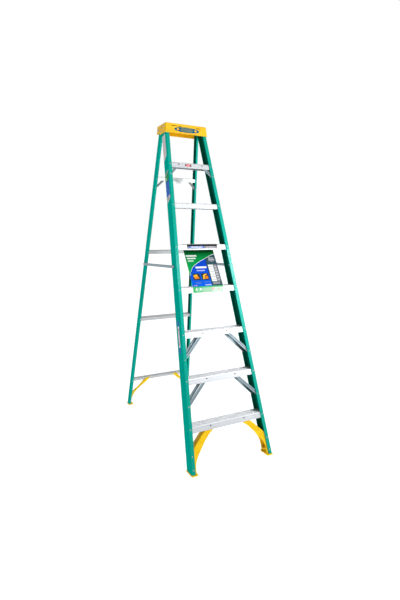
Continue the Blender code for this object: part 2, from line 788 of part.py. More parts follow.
def rivet(name, place, side, outer, inner, tail=True):
    profile = domed(outer) + [(RIVET_RADIUS, outer), (RIVET_RADIUS, inner)]
    if tail:
        profile += [(0.0055, inner), (0.0055, inner - 0.002), (0, inner - 0.002)]
    else:
        profile += [(0, inner)]
    turned(name, profile, place, side, "steel", None)


def make_spreaders(front_rails, rear_rails):
    front, rear = spreader_points()
    across = rear - front
    elbow = front + across * FRONT_LINK_SHARE
    outer_front = FRONT_LINK_X + LINK_THICKNESS + GAP
    outer_rear = REAR_LINK_X + LINK_THICKNESS + GAP
    rear_drop = (HINGE_Z - REAR_SPREADER_Z) / math.cos(REAR_SLOPE)
    front_inner = front_outer(FRONT_SPREADER_Z) - FRONT_WALL - 2 * GAP
    rear_inner = rear_outer(-rear_drop) - REAR_WALL - 2 * GAP
    for side, label, index in ((-1, "left", 0), (1, "right", 1)):
        length = (elbow - front).length
        make_link(f"spreader_front_{label}", front, across, length, FRONT_LINK_X, side)
        make_link(f"spreader_rear_{label}", rear, -across, (rear - elbow).length, REAR_LINK_X, side)
        rivet(f"spreader_front_rivet_{label}", front, side, outer_front, front_inner)
        rear_stem = REAR_LINK_X + LINK_THICKNESS + GAP
        rivet_profile = [(0, rear_stem + 0.0005), (0.0052, rear_stem + 0.0005), (0.0052, rear_stem)]
        rivet_profile += [(RIVET_RADIUS, rear_stem), (RIVET_RADIUS, rear_inner), (0.0055, rear_inner)]
        rivet_profile += [(0.0055, rear_inner - 0.002), (0, rear_inner - 0.002)]
        turned(f"spreader_rear_rivet_{label}", rivet_profile, rear, side, "steel", None)
        rivet(f"elbow_rivet_outer_{label}", elbow, side, outer_front, FRONT_LINK_X + GAP, False)
        inner_head = REAR_LINK_X - GAP
        stud = [(0, outer_rear - 2 * GAP), (RIVET_RADIUS, outer_rear - 2 * GAP), (RIVET_RADIUS, inner_head)]
        stud += [(HEAD_RADIUS, inner_head), (0.9 * HEAD_RADIUS, inner_head - 0.5 * HEAD_HEIGHT)]
        stud += [(0.5 * HEAD_RADIUS, inner_head - HEAD_HEIGHT), (0, inner_head - HEAD_HEIGHT)]
        turned(f"elbow_rivet_inner_{label}", stud, elbow, side, "steel", None)
        for rail, place, name in (
            (front_rails[index], front, "spreader_front"),
            (rear_rails[index], rear, "spreader_rear"),
        ):
            drill(rail, f"{name}_{label}_rail_hole", place, RIVET_RADIUS + HOLE_GAP, 0.19, 0.25, None, side)


# Card


def make_card(front):
    """Up over the lower step's apron, back to the rear of the upper step, over its tread and down."""
    near = FRONT_WALL + GAP - CARD_GAP
    skin = CARD_GAP + CARD_THICKNESS
    rear = FRONT_WEB - FRONT_WALL - GAP + skin
    lower = STEP_RIVET_Z + (CARD_LOWER_STEP - 1) * STEP_PITCH + TREAD_RISE
    upper = STEP_RIVET_Z + (CARD_UPPER_STEP - 1) * STEP_PITCH + TREAD_RISE + skin
    rise = (rear - near) * math.tan(FRONT_SLOPE)
    path = [
        (near, lower - APRON_HEIGHT),
        (near, lower + 0.003),
        (rear, upper + rise - APRON_HEIGHT - 0.006),
        (rear, upper + rise + 0.001),
        (near - CARD_THICKNESS, upper),
        (near - CARD_THICKNESS, upper - 0.031),
    ]
    outline = ribbon(fillet(path, 0.0015, 3), CARD_THICKNESS)
    mesh = extrusion(outline, -CARD_HALF_WIDTH, CARD_HALF_WIDTH, ALONG_X)
    add("display_card", mesh, "card", front)


def main():
    clear_scene()
    ladder = new_collection("stepladder")
    new_collection("cutters")
    front = axes("front_axes", (0, FRONT_TOE_Y, 0), -FRONT_SLOPE, ladder)
    rear = axes("rear_axes", (0, HINGE_Y, HINGE_Z), REAR_SLOPE, ladder)
    front_rails = make_front_rails(front)
    make_steps(front)
    make_knee_braces(front)
    make_front_feet(front)
    rear_rails = make_rear_rails(rear)
    make_rear_horizontals(rear)
    make_top_braces(rear)
    make_storage_latch(rear)
    make_rear_feet(rear)
    cap = make_cap()
    bpy.context.view_layer.update()
    make_cap_bolts(cap, front_rails)
    make_hinge_bolts(cap, rear_rails, rear)
    make_spreaders(front_rails, rear_rails)
    make_card(front)


main()
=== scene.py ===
"""The looks of the stepladder: finishes, ribbed treads, rivets, labels and the printing on the card.

Metres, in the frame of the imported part. Two sets of axes carry most of the shapes, as on the part:
front axes (x across, y rearwards and square to the front rails, z up along them) and rear axes
(the same for the rear rails, z up from the main hinge).
"""

import math

import bmesh
import bpy
from mathutils import Matrix, Vector


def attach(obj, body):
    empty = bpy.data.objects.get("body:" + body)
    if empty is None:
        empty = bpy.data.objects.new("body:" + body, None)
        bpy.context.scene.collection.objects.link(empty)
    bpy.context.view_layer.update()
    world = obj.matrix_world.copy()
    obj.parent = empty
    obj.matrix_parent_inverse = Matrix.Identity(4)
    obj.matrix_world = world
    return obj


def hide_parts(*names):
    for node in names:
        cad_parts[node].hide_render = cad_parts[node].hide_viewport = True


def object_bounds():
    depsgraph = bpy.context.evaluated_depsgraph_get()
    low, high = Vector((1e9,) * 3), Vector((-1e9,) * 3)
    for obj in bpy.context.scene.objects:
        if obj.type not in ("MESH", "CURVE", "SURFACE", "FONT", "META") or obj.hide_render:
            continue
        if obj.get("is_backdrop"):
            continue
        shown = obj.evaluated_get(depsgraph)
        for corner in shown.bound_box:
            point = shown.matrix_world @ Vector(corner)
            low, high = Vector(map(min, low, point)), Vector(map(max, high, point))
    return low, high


FRONT_SLOPE = math.radians(17.48)
REAR_SLOPE = math.radians(12.35)
FRONT_TOE_Y = -0.6778
REAR_TOE_Y = 0.6500
HINGE_Z = 2.271
HINGE_Y = REAR_TOE_Y - HINGE_Z * math.tan(REAR_SLOPE)

FRONT_WEB = 0.0765
FRONT_FLANGE = 0.027
FRONT_WALL = 0.004
FRONT_TOE_X = 0.3121
FRONT_TAPER = 0.06345
REAR_WEB = 0.050
REAR_FLANGE = 0.016
REAR_WALL = 0.0035
REAR_HINGE_X = 0.1537
REAR_TAPER = 0.06174
GAP = 0.0003

STEP_PITCH = 0.3042
STEP_RIVET_Z = 0.2841
TREAD_RISE = 0.014
APRON_HEIGHT = 0.039
STEP_WALL = 0.002
HALF_SPAN = 0.35
BRACED_STEPS = {2: (0.1106, 0.1620), 3: (0.0919, 0.1620), 7: (0.0941, 0.0770)}  # half spacing, drop
TOP_STEP = 7
REAR_BRACE_SHIFT = 0.008
HORIZONTAL_HEIGHTS = (1.947, 1.384, 0.818, 0.251)
CARD_HALF_WIDTH = 0.120

RIVET_INSET = 0.0135
RAIL_RIVET = 0.0044
REAR_RIVET = 0.0038
APRON_RIVET = 0.0050
INNER_RIVET = 0.0042
FOOT_RIVET = 0.0040
CAP_STUD = 0.0046

TO_FRONT = Matrix.Translation((0, FRONT_TOE_Y, 0)) @ Matrix.Rotation(-FRONT_SLOPE, 4, "X")
TO_REAR = Matrix.Translation((0, HINGE_Y, HINGE_Z)) @ Matrix.Rotation(REAR_SLOPE, 4, "X")

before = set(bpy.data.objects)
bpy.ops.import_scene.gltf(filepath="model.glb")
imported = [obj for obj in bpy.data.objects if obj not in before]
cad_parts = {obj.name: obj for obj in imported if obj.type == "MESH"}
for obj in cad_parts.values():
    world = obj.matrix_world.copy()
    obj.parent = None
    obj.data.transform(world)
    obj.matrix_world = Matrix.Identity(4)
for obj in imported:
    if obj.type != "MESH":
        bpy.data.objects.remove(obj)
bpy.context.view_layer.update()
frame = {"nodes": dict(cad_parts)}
nodes = frame["nodes"]


def front_outer(z):
    return FRONT_TOE_X - FRONT_TAPER * z


def rear_outer(z):
    return REAR_HINGE_X - REAR_TAPER * z


# Materials


class Finish:
    """A node material, built round one Principled shader."""

    def __init__(self, name, colour, roughness, metallic=0.0, **sockets):
        self.material = bpy.data.materials.new(name)
        self.material.use_nodes = True
        self.tree = self.material.node_tree
        self.shader = self.tree.nodes["Principled BSDF"]
        self.shader.inputs["Base Color"].default_value = (*colour, 1)
        self.shader.inputs["Roughness"].default_value = roughness
        self.shader.inputs["Metallic"].default_value = metallic
        for socket, value in sockets.items():
            self.shader.inputs[socket.replace("_", " ")].default_value = value
        self.material.diffuse_color = (*colour, 1)

    def node(self, kind, **settings):
        node = self.tree.nodes.new(kind)
        for key, value in settings.items():
            setattr(node, key, value)
        return node

    def link(self, source, target):
        self.tree.links.new(source, target)

    def place(self, turn=0.0, scale=(1, 1, 1)):
        """Object coordinates, turned about X and then stretched."""
        where = self.node("ShaderNodeTexCoord").outputs["Object"]
        for rotation, size in (((turn, 0, 0), (1, 1, 1)), ((0, 0, 0), scale)):
            mapping = self.node("ShaderNodeMapping")
            mapping.inputs["Rotation"].default_value = rotation
            mapping.inputs["Scale"].default_value = size
            self.link(where, mapping.inputs["Vector"])
            where = mapping.outputs["Vector"]
        return where

    def noise(self, where, scale, detail=3.0, roughness=0.5):
        node = self.node("ShaderNodeTexNoise")
        node.inputs["Scale"].default_value = scale
        node.inputs["Detail"].default_value = detail
        node.inputs["Roughness"].default_value = roughness
        self.link(where, node.inputs["Vector"])
        return node.outputs["Fac"]

    def ramp(self, factor, *stops):
        node = self.node("ShaderNodeValToRGB")
        elements = node.color_ramp.elements
        while len(elements) < len(stops):
            elements.new(0.5)
        for element, (position, colour) in zip(elements, stops):
            element.position = position
            element.color = (*colour, 1)
        self.link(factor, node.inputs["Fac"])
        return node.outputs["Color"]

    def span(self, value, low, high, to_low, to_high):
        node = self.node("ShaderNodeMapRange")
        for socket, number in zip(("From Min", "From Max", "To Min", "To Max"), (low, high, to_low, to_high)):
            node.inputs[socket].default_value = number
        self.link(value, node.inputs["Value"])
        return node.outputs["Result"]

    def multiply(self, first, second):
        node = self.node("ShaderNodeMix", data_type="RGBA", blend_type="MULTIPLY")
        node.inputs["Factor"].default_value = 1.0
        self.link(first, node.inputs[6])
        self.link(second, node.inputs[7])
        return node.outputs[2]

    def colour(self, socket):
        self.link(socket, self.shader.inputs["Base Color"])

    def rough(self, socket):
        self.link(socket, self.shader.inputs["Roughness"])

    def bump(self, *layers):
        """Each layer is (height, depth in metres, strength)."""
        normal = None
        for height, depth, strength in layers:
            node = self.node("ShaderNodeBump")
            node.inputs["Distance"].default_value = depth
            node.inputs["Strength"].default_value = strength
            self.link(height, node.inputs["Height"])
            if normal:
                self.link(normal, node.inputs["Normal"])
            normal = node.outputs["Normal"]
        self.link(normal, self.shader.inputs["Normal"])


def shade(colour, factor):
    return tuple(min(1.0, channel * factor) for channel in colour)


def fibreglass(name, colour, turn, roughness=0.50, **sockets):
    """Pulled fibreglass: rovings run along the rail under a veil of mottled resin."""
    finish = Finish(name, colour, roughness, **sockets)
    strands = finish.noise(finish.place(turn, (260, 260, 5)), 1.0, 4.0)
    veil = finish.noise(finish.place(turn), 42.0, 4.0, 0.6)
    cloud = finish.noise(finish.place(turn, (1, 1, 0.3)), 5.0, 2.0)
    tone = finish.ramp(strands, (0.25, shade(colour, 0.88)), (0.75, shade(colour, 1.07)))
    mottled = finish.ramp(veil, (0.3, (0.93, 0.93, 0.93)), (0.7, (1, 1, 1)))
    broad = finish.ramp(cloud, (0.35, (0.94, 0.95, 0.95)), (0.65, (1, 1, 1)))
    finish.colour(finish.multiply(finish.multiply(tone, mottled), broad))
    finish.rough(finish.span(strands, 0.3, 0.7, roughness - 0.04, roughness + 0.10))
    finish.bump((strands, 0.00025, 0.25), (veil, 0.00020, 0.20))
    return finish.material


def moulded(name, colour, glow, depth):
    """Injection-moulded plastic with a spark-eroded grain; light passes through its thin walls."""
    finish = Finish(
        name,
        colour,
        0.42,
        Specular_IOR_Level=0.10,
        Subsurface_Weight=glow,
        Subsurface_Radius=(1.0, 0.75, 0.15),
        Subsurface_Scale=depth,
    )
    grain = finish.noise(finish.place(), 900.0, 3.0, 0.6)
    flow = finish.noise(finish.place(0, (6, 6, 14)), 1.5, 3.0)
    speck = finish.noise(finish.place(), 160.0, 2.0)
    tone = finish.ramp(flow, (0.3, shade(colour, 0.93)), (0.7, shade(colour, 1.05)))
    marks = finish.ramp(speck, (0.30, (0.95, 0.93, 0.90)), (0.42, (1, 1, 1)))
    finish.colour(finish.multiply(tone, marks))
    finish.rough(finish.span(grain, 0.3, 0.7, 0.36, 0.50))
    finish.bump((grain, 0.00012, 0.35))
    return finish.material


def extruded(name, colour, roughness, stretch, metallic=1.0):
    """Extruded metal: die lines run along the bar, with a faint bloom."""
    finish = Finish(name, colour, roughness, metallic)
    lines = finish.noise(finish.place(0, stretch), 1.0, 5.0, 0.65)
    bloom = finish.noise(finish.place(), 18.0, 3.0)
    tone = finish.ramp(lines, (0.3, shade(colour, 0.90)), (0.7, shade(colour, 1.04)))
    cloudy = finish.ramp(bloom, (0.3, (0.94, 0.94, 0.95)), (0.7, (1, 1, 1)))
    finish.colour(finish.multiply(tone, cloudy))
    finish.rough(finish.span(lines, 0.3, 0.7, roughness - 0.08, roughness + 0.10))
    finish.bump((lines, 0.00010, 0.30))
    return finish.material


def plated(name, colour, roughness):
    """Zinc-plated steel with a fine crystalline grain."""
    finish = Finish(name, colour, roughness, 1.0)
    grain = finish.noise(finish.place(), 700.0, 3.0)
    finish.colour(finish.ramp(grain, (0.3, shade(colour, 0.85)), (0.7, shade(colour, 1.05))))
    finish.rough(finish.span(grain, 0.3, 0.7, roughness - 0.05, roughness + 0.12))
    finish.bump((grain, 0.00006, 0.2))
    return finish.material


def rubber(name):
    """Black sole rubber with patches of dust."""
    finish = Finish(name, (0.022, 0.022, 0.023), 0.75)
    grain = finish.noise(finish.place(), 500.0, 4.0)
    dust = finish.noise(finish.place(), 35.0, 3.0)
    finish.colour(finish.ramp(dust, (0.35, (0.018, 0.018, 0.019)), (0.7, (0.05, 0.049, 0.047))))
    finish.rough(finish.span(grain, 0.3, 0.7, 0.68, 0.88))
    finish.bump((grain, 0.0002, 0.4))
    return finish.material


def matt_ink(name, colour):
    """The slight tooth of board or vinyl under ink. The colour is linked by the caller."""
    finish = Finish(name, colour, 0.38, Specular_IOR_Level=0.06)
    tooth = finish.noise(finish.place(), 1300.0, 2.0)
    finish.rough(finish.span(tooth, 0.3, 0.7, 0.33, 0.46))
    finish.bump((tooth, 0.00004, 0.2))
    return finish


def printed(name, colour):
    """Ink on board or vinyl, with a slow change of tone."""
    finish = matt_ink(name, colour)
    tone = finish.noise(finish.place(), 9.0, 2.0)
    finish.colour(finish.ramp(tone, (0.3, shade(colour, 0.95)), (0.7, shade(colour, 1.04))))
    return finish.material


def graded(name, low, high, *stops):
    """Ink that changes with height, between two levels."""
    finish = matt_ink(name, stops[0][1])
    split = finish.node("ShaderNodeSeparateXYZ")
    finish.link(finish.place(), split.inputs["Vector"])
    finish.colour(finish.ramp(finish.span(split.outputs["Z"], low, high, 0, 1), *stops))
    return finish.material


# The webs, the flat flange faces and the insides of the rails each have their own green: the flat flange
# faces carry a darker copy of the webs' green and the insides a much darker one, both painted shade.
GREEN = (0.0, 0.410, 0.325)
FACE_SHADE_GREEN = (0.0, 0.310, 0.220)
INSIDE_SHADE_GREEN = (0.0, 0.150, 0.100)
MATT = {"Specular_IOR_Level": 0.0}
GLOSSY = {
    "Specular_IOR_Level": 1.0,
    "Specular_Tint": (0.02, 1, 0.92, 1),
    "Coat_Weight": 0.10,
    "Coat_Roughness": 0.11,
}
YELLOW = (0.84, 0.50, 0.018)

MAT = {
    # The face and inside fibreglass, front and rear, are darker copies of the web fibreglass: painted shade.
    "front_green": fibreglass("front_fibreglass", GREEN, FRONT_SLOPE, **MATT),
    "front_face_shade": fibreglass("front_fibreglass_face_shade", FACE_SHADE_GREEN, FRONT_SLOPE, 0.42, **GLOSSY),
    "front_inner_shade": fibreglass("front_fibreglass_inside_shade", INSIDE_SHADE_GREEN, FRONT_SLOPE, 0.60, **MATT),
    "rear_green": fibreglass("rear_fibreglass", GREEN, -REAR_SLOPE, **MATT),
    "rear_face_shade": fibreglass("rear_fibreglass_face_shade", FACE_SHADE_GREEN, -REAR_SLOPE, 0.42, **GLOSSY),
    "rear_inner_shade": fibreglass("rear_fibreglass_inside_shade", INSIDE_SHADE_GREEN, -REAR_SLOPE, 0.60, **MATT),
    "yellow": moulded("cap_moulding", YELLOW, 0.2, 0.006),
    # A lit copy of the cap's yellow for its inward faces: painted light.
    "cap_inside_lit": moulded("cap_inside_moulding", (0.92, 0.44, 0.015), 0.7, 0.020),
    "foot_yellow": moulded("foot_moulding", (0.84, 0.54, 0.012), 0.6, 0.013),
    "tread": extruded("tread_aluminium", (0.605, 0.63, 0.655), 0.52, (3, 900, 900)),
    # A lighter copy of the tread aluminium for the tops of the treads: painted light.
    "tread_top_lit": extruded("tread_top_aluminium", (0.72, 0.735, 0.755), 0.52, (3, 900, 900)),
    # A dark copy of the tread aluminium for the bottoms of the broad grooves: painted shade.
    "groove": extruded("tread_groove_shade_aluminium", (0.15, 0.155, 0.165), 0.55, (3, 900, 900)),
    "bar": extruded("horizontal_aluminium", (0.53, 0.545, 0.555), 0.50, (3, 900, 900)),
    "brace": extruded("brace_aluminium", (0.27, 0.35, 0.39), 0.50, (60, 60, 60)),
    # A near-white, less metallic copy of the bar aluminium for rear_horizontal_1 and the storage latch:
    # painted light.
    "top_bar_lit": extruded("top_bar_aluminium", (0.93, 0.95, 0.97), 0.60, (3, 60, 60), metallic=0.3),
    "top_brace": extruded("top_brace_aluminium", (0.40, 0.50, 0.56), 0.40, (60, 60, 60)),
    # A dark copy of the brace metal for the top braces' undersides and the knee braces' pressed strips:
    # painted shade.
    "brace_shade": extruded("brace_shade_aluminium", (0.17, 0.19, 0.20), 0.55, (60, 60, 60)),
    "spreader": extruded("spreader_steel", (0.27, 0.345, 0.385), 0.45, (400, 6, 400)),
    "steel": plated("plated_steel", (0.52, 0.47, 0.50), 0.32),
    "rivet": plated("rivet_steel", (0.50, 0.44, 0.47), 0.35),
    "dark_rivet": plated("apron_rivet_steel", (0.10, 0.105, 0.105), 0.45),
    "rubber": rubber("sole_rubber"),
    "board": printed("card_board", (0.75, 0.77, 0.76)),
}


def assign(obj, *names):
    if obj.data.materials:
        obj.data.materials.clear()
    for name in names:
        obj.data.materials.append(MAT[name])


# CAD pieces that keep their shape


def paint_rail(obj, to_axes, outer, middle, web, flange, wall, names):
    """The web, the inside and the flat flange faces of a channel, each in its own finish; the inside and the
    flat faces take darker copies of the web's green, painted shade.
    """
    assign(obj, *names)
    back = to_axes.inverted()
    for polygon in obj.data.polygons:
        place = back @ polygon.center
        inset = outer(place.z) - abs(place.x)
        depth = abs(place.y - middle)
        # The inside of the channel and its flat faces get the darker greens: painted shade.
        inside = wall * 0.6 < inset < flange - 0.0008 and depth < web / 2 - wall * 0.6
        flat = depth > web / 2 - 0.0002
        polygon.material_index = 1 if inside else 2 if flat else 0


FRONT_CHANNEL = (TO_FRONT, front_outer, FRONT_WEB / 2, FRONT_WEB, FRONT_FLANGE, FRONT_WALL)
REAR_CHANNEL = (TO_REAR, rear_outer, 0, REAR_WEB, REAR_FLANGE, REAR_WALL)
for side in ("left", "right"):
    paint_rail(nodes[f"front_rail_{side}"], *FRONT_CHANNEL, ("front_green", "front_inner_shade", "front_face_shade"))
    paint_rail(nodes[f"rear_rail_{side}"], *REAR_CHANNEL, ("rear_green", "rear_inner_shade", "rear_face_shade"))

# The inward faces of the cap get a lit copy of its yellow, more orange and glowing more through the wall:
# painted light. The undersides of the top braces get a dark copy of their metal: painted shade.
cap = nodes["top_cap"]
assign(cap, "yellow", "cap_inside_lit")
middle = sum((vertex.co for vertex in cap.data.vertices), Vector()) / len(cap.data.vertices)
for polygon in cap.data.polygons:
    # Inward faces take the lit copy: painted light.
    polygon.material_index = int((polygon.center - middle).dot(polygon.normal) < 0)
for side in ("left", "right"):
    brace = nodes[f"rear_top_brace_{side}"]
    assign(brace, "top_brace", "brace_shade")
    for polygon in brace.data.polygons:
        # Downward faces take the dark copy: painted shade.
        polygon.material_index = int(polygon.normal.z < -0.2)

KEPT = (  # the first prefix that fits a node's name gives its finish
    ("front_foot_pad", "rubber"),
    ("rear_foot_pad", "rubber"),
    ("front_foot", "foot_yellow"),
    ("rear_foot", "foot_yellow"),
    # rear_horizontal_1 and the storage latch take the lighter copy of the bar aluminium: painted light.
    ("rear_horizontal_1", "top_bar_lit"),
    ("rear_horizontal", "bar"),
    ("storage_latch", "top_bar_lit"),
    ("spreader_front_rivet", "steel"),
    ("spreader_rear_rivet", "steel"),
    ("spreader", "spreader"),
    ("elbow_rivet", "steel"),
    ("cap_bolt", "steel"),
    ("hinge_bolt", "steel"),
    ("display_card", "board"),
)
for name, node in nodes.items():
    if "foot" in name and "pad" not in name:
        node.data.shade_smooth()
        node.data.set_sharp_from_angle(angle=math.radians(62))
    if "brace" in name and name.startswith("step"):
        assign(node, "brace")
        continue
    for prefix, finish in KEPT:
        if name.startswith(prefix):
            assign(node, finish)
            break


# Shapes


def new_piece(name, mesh, body, finishes, angle=None):
    """A piece on a body. Edges flatter than the angle, in degrees, are shaded smooth."""
    obj = bpy.data.objects.new(name, mesh)
    bpy.context.scene.collection.objects.link(obj)
    assign(obj, *finishes)
    if angle:
        mesh.shade_smooth()
        mesh.set_sharp_from_angle(angle=math.radians(angle))
    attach(obj, body)
    return obj


def prism(outline, to_world, cuts):
    """A closed outline in (y, z) drawn along x, then cut by planes."""
    shape = bmesh.new()
    rings = []
    for x in (-HALF_SPAN, HALF_SPAN):
        rings.append([shape.verts.new((x, y, z)) for y, z in outline])
    count = len(outline)
    for i in range(count):
        shape.faces.new((rings[0][i], rings[0][(i + 1) % count], rings[1][(i + 1) % count], rings[1][i]))
    shape.faces.new(rings[0][::-1])
    shape.faces.new(rings[1])
    for point, normal in cuts:
        geometry = shape.verts[:] + shape.edges[:] + shape.faces[:]
        bmesh.ops.bisect_plane(shape, geom=geometry, plane_co=point, plane_no=normal, clear_outer=True)
        bmesh.ops.holes_fill(shape, edges=[edge for edge in shape.edges if edge.is_boundary])
    bmesh.ops.recalc_face_normals(shape, faces=shape.faces)
    shape.transform(to_world)
    mesh = bpy.data.meshes.new("prism")
    shape.to_mesh(mesh)
    shape.free()
    return mesh


# Treads

GROOVE_DEPTH = 0.0013


def ridged_tread(number):
    """The section of a step: an apron with two drawn lines, a ribbed tread whose every third valley
    is a broad groove, and a plain inside."""
    near = FRONT_WALL + GAP
    far = FRONT_WEB - FRONT_WALL - GAP
    top = STEP_RIVET_Z + (number - 1) * STEP_PITCH + TREAD_RISE
    rise = math.tan(FRONT_SLOPE)
    back = top + (far - near) * rise
    low = top - APRON_HEIGHT
    along = Vector((math.cos(FRONT_SLOPE), math.sin(FRONT_SLOPE)))
    up = Vector((-math.sin(FRONT_SLOPE), math.cos(FRONT_SLOPE)))
    outer = [Vector((near + 0.0006, low)), Vector((near, low + 0.0006))]
    for height, depth in ((0.0055, 0.0005), (0.0305, 0.0005)):
        for offset, inset in ((-0.0007, 0), (-0.0004, depth), (0.0004, depth), (0.0007, 0)):
            outer.append(Vector((near + inset, low + height + offset)))
    start = Vector((near, top))
    outer += [start + Vector((0, -0.0016)), start + Vector((0.0004, -0.0005)), start + along * 0.0018]
    width = (far - near) / math.cos(FRONT_SLOPE)
    ridges = 12
    pitch = (width - 0.007) / ridges
    for i in range(ridges):
        fine = ((0.10, 0), (0.26, 0.0008), (0.62, 0.0008), (0.78, 0))
        broad = ((0.20, 0), (0.28, GROOVE_DEPTH), (0.66, GROOVE_DEPTH), (0.74, 0))
        for share, drop in broad if i % 3 == 2 else fine:
            outer.append(start + along * (0.0035 + (i + share) * pitch) - up * drop)
    end = Vector((far, back))
    outer += [end - along * 0.0020, end + Vector((-0.0003, -0.0010)), end + Vector((0, -0.0022))]
    outer += [Vector((far, back - APRON_HEIGHT + 0.0006)), Vector((far - 0.0006, back - APRON_HEIGHT))]
    thick = STEP_WALL
    inner = [
        Vector((far - thick, back - APRON_HEIGHT)),
        Vector((far - thick, back - thick * 1.6)),
        Vector((near + thick, top - thick * 0.95)),
        Vector((near + thick, low)),
    ]
    return outer + inner


lean = math.atan(FRONT_TAPER)
web_face = FRONT_TOE_X - (FRONT_WALL + 0.001) / math.cos(lean)
cuts = [((side * web_face, 0, 0), (side, 0, FRONT_TAPER)) for side in (-1, 1)]
finishes = ("tread", "groove", "tread_top_lit")
for number in range(1, TOP_STEP + 1):
    mesh = prism(ridged_tread(number), TO_FRONT, cuts)
    step = new_piece(f"tread_{number}", mesh, "front_section", finishes, angle=25)
    top = STEP_RIVET_Z + (number - 1) * STEP_PITCH + TREAD_RISE - (FRONT_WALL + GAP) * math.tan(FRONT_SLOPE)
    for polygon in mesh.polygons:
        place = TO_FRONT.inverted() @ polygon.center
        depth = (top - place.z + place.y * math.tan(FRONT_SLOPE)) * math.cos(FRONT_SLOPE)
        # The bottoms of the broad grooves take the dark copy: painted shade.
        if abs(depth - GROOVE_DEPTH) < 0.0002:
            polygon.material_index = 1
        # Upward faces above the grooves take the lighter copy: painted light.
        elif depth < GROOVE_DEPTH and polygon.normal.z > 0.6:
            polygon.material_index = 2
    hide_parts(f"step_{number}")


# Rivets

RIVET_SIDES = 14
RIVET_PROFILE = (  # share of the radius, height
    (1.00, -0.0004),
    (1.00, 0.0003),
    (0.90, 0.0009),
    (0.66, 0.0016),
    (0.40, 0.0019),
    (0.26, 0.0019),
    (0.18, 0.0012),
)


def rivet_heads(name, body, places, finish="rivet"):
    """Domed heads with a dimple. A place is (point, outward direction, radius)."""
    shape = bmesh.new()
    for point, direction, radius in places:
        turn = Vector(direction).to_track_quat("Z", "Y").to_matrix().to_4x4()
        spot = Matrix.Translation(point) @ turn
        rings = []
        for share, height in RIVET_PROFILE:
            ring = []
            for i in range(RIVET_SIDES):
                angle = 2 * math.pi * i / RIVET_SIDES
                edge = Vector((radius * share * math.cos(angle), radius * share * math.sin(angle), height))
                ring.append(shape.verts.new(spot @ edge))
            rings.append(ring)
        for first, second in zip(rings, rings[1:]):
            for i in range(RIVET_SIDES):
                after = (i + 1) % RIVET_SIDES
                shape.faces.new((first[i], first[after], second[after], second[i]))
        shape.faces.new(rings[-1])
    mesh = bpy.data.meshes.new(name)
    shape.to_mesh(mesh)
    shape.free()
    return new_piece(name, mesh, body, (finish,), angle=50)


def front_point(x, y, z):
    return TO_FRONT @ Vector((x, y, z))


def rear_point(x, y, z):
    return TO_REAR @ Vector((x, y, z))


FORWARD = TO_FRONT.to_3x3() @ Vector((0, -1, 0))
REARWARD = -FORWARD
REAR_FORWARD = TO_REAR.to_3x3() @ Vector((0, -1, 0))

places = []
dark_places = []


def through_front_flanges(x, z, rear_z):
    """A rivet head on the front flange and, where a height is given, one on the rear flange."""
    places.append((front_point(x, 0, z), FORWARD, RAIL_RIVET))
    if rear_z:
        places.append((front_point(x, FRONT_WEB, rear_z), REARWARD, RAIL_RIVET))


for side in (-1, 1):
    for number in range(1, TOP_STEP + 1):
        z = STEP_RIVET_Z + (number - 1) * STEP_PITCH
        through_front_flanges(side * (front_outer(z) - RIVET_INSET), z, z + 0.019)
    apron_rivets = {**BRACED_STEPS, 1: (0.1306, None)}
    for number, (half, drop) in apron_rivets.items():
        z = STEP_RIVET_Z + (number - 1) * STEP_PITCH
        dark_places.append((front_point(side * half, FRONT_WALL + GAP, z), FORWARD, APRON_RIVET))
        if number < TOP_STEP:
            x = side * (half + (REAR_BRACE_SHIFT if number > 1 else 0))
            dark_places.append((front_point(x, FRONT_WEB - FRONT_WALL - GAP, z), REARWARD, INNER_RIVET))
        if drop:
            low = z - drop
            x = side * (front_outer(low) - RIVET_INSET)
            through_front_flanges(x, low, low if number < TOP_STEP else None)
    for z in (0.120, 0.037):
        through_front_flanges(side * (front_outer(z) - RIVET_INSET), z, z + 0.02)
    dark_places.append((front_point(side * 0.2735, 0.042, 0.061), (-side, 0, 0), FOOT_RIVET))
    places.append(((side * 0.1705, 0.0995, 2.2800), (side, 0, 0), CAP_STUD))
rivet_heads("front_rivets", "front_section", places)
rivet_heads("apron_rivets", "front_section", dark_places, "dark_rivet")

places = []
half = REAR_WEB / 2
drop = HINGE_Z - half * math.sin(REAR_SLOPE)
heights = [(height - drop) / math.cos(REAR_SLOPE) - 0.012 for height in HORIZONTAL_HEIGHTS]
heights += [(height - HINGE_Z) / math.cos(REAR_SLOPE) for height in (1.872, 0.105, 0.045)]
for side in (-1, 1):
    for z in heights:
        x = side * (rear_outer(z) - REAR_FLANGE / 2)
        places.append((rear_point(x, -half, z), REAR_FORWARD, REAR_RIVET))
        places.append((rear_point(x, half, z), -REAR_FORWARD, REAR_RIVET))
rivet_heads("rear_rivets", "rear_section", places)


# Flat shapes laid on a surface


INK_LIFT = 0.00006


class Sheet:
    """Flat coloured shapes on a plane. Points are (across, along), in metres from the corner."""

    def __init__(self, name, corner, across, along, body):
        self.name, self.body = name, body
        self.corner, self.across, self.along = Vector(corner), Vector(across), Vector(along)
        self.out = self.across.cross(self.along).normalized()
        self.shape = bmesh.new()
        self.finishes = []

    def add(self, points, finish, lift=1):
        if finish not in self.finishes:
            self.finishes.append(finish)
        corners = []
        for a, b in points:
            place = self.corner + self.across * a + self.along * b + self.out * (INK_LIFT + INK_LIFT * lift)
            corners.append(self.shape.verts.new(place))
        face = self.shape.faces.new(corners)
        face.material_index = self.finishes.index(finish)
        face.normal_update()
        if face.normal.dot(self.out) < 0:
            face.normal_flip()

    def done(self):
        bmesh.ops.triangulate(self.shape, faces=self.shape.faces)
        mesh = bpy.data.meshes.new(self.name)
        self.shape.to_mesh(mesh)
        self.shape.free()
        new_piece(self.name, mesh, self.body, self.finishes)


